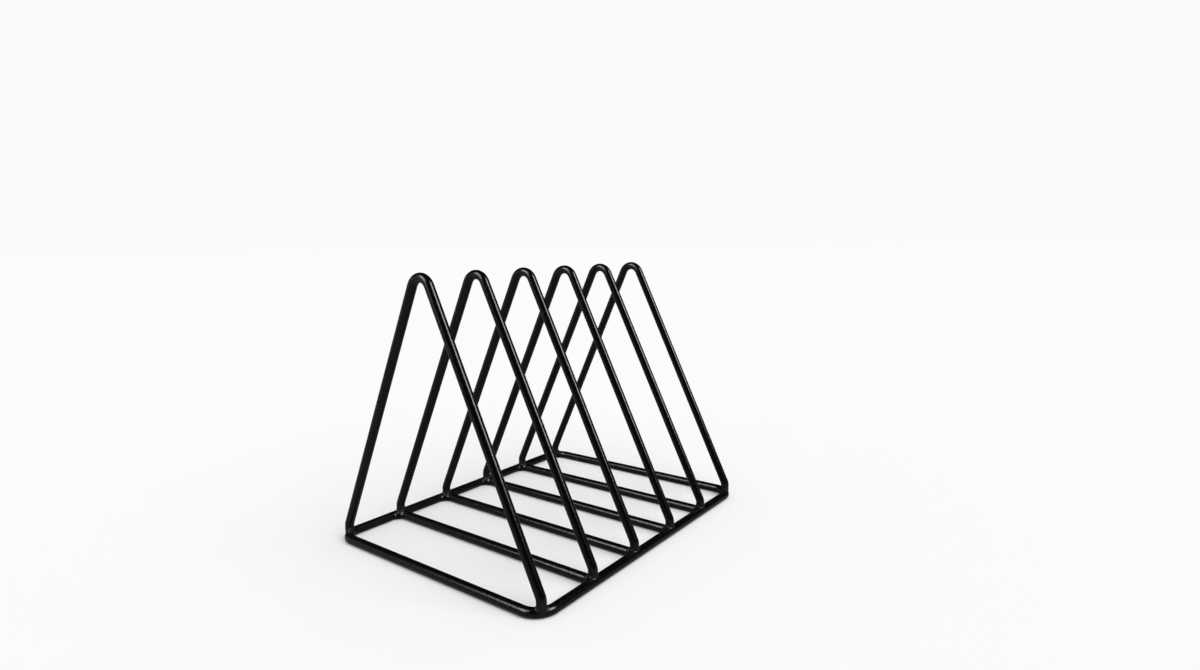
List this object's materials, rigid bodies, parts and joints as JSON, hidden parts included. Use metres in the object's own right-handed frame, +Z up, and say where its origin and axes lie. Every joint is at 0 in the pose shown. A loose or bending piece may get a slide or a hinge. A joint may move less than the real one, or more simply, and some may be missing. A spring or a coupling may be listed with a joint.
{
  "type": "record storage stand",
  "caption": "Tabletop storage stand of black powder-coated wire: a flat rounded hoop with cross rails carries a row of bent triangular dividers.",
  "frame": {"origin": "on the table, under the middle of the base hoop", "axes": "+X to the right across the stand, +Y from the front divider to the back one, +Z up"},
  "size_m": [0.1218, 0.1524, 0.12],
  "materials": {
    "wire_coat": "satin black powder coat over steel wire",
    "weld_coat": "satin black powder coat over a rippled weld bead"
  },
  "bodies": {
    "root": {"base_hoop": "wire_coat", "cross_rail_2": "wire_coat", "cross_rail_3": "wire_coat", "cross_rail_4": "wire_coat", "cross_rail_5": "wire_coat", "divider_1": "wire_coat", "divider_2": "wire_coat", "divider_3": "wire_coat", "divider_4": "wire_coat", "divider_5": "wire_coat", "divider_6": "wire_coat", "weld_left_1": "weld_coat", "weld_left_2": "weld_coat", "weld_left_3": "weld_coat", "weld_left_4": "weld_coat", "weld_left_5": "weld_coat", "weld_left_6": "weld_coat", "weld_right_1": "weld_coat", "weld_right_2": "weld_coat", "weld_right_3": "weld_coat", "weld_right_4": "weld_coat", "weld_right_5": "weld_coat", "weld_right_6": "weld_coat"}
  },
  "joints": []
}
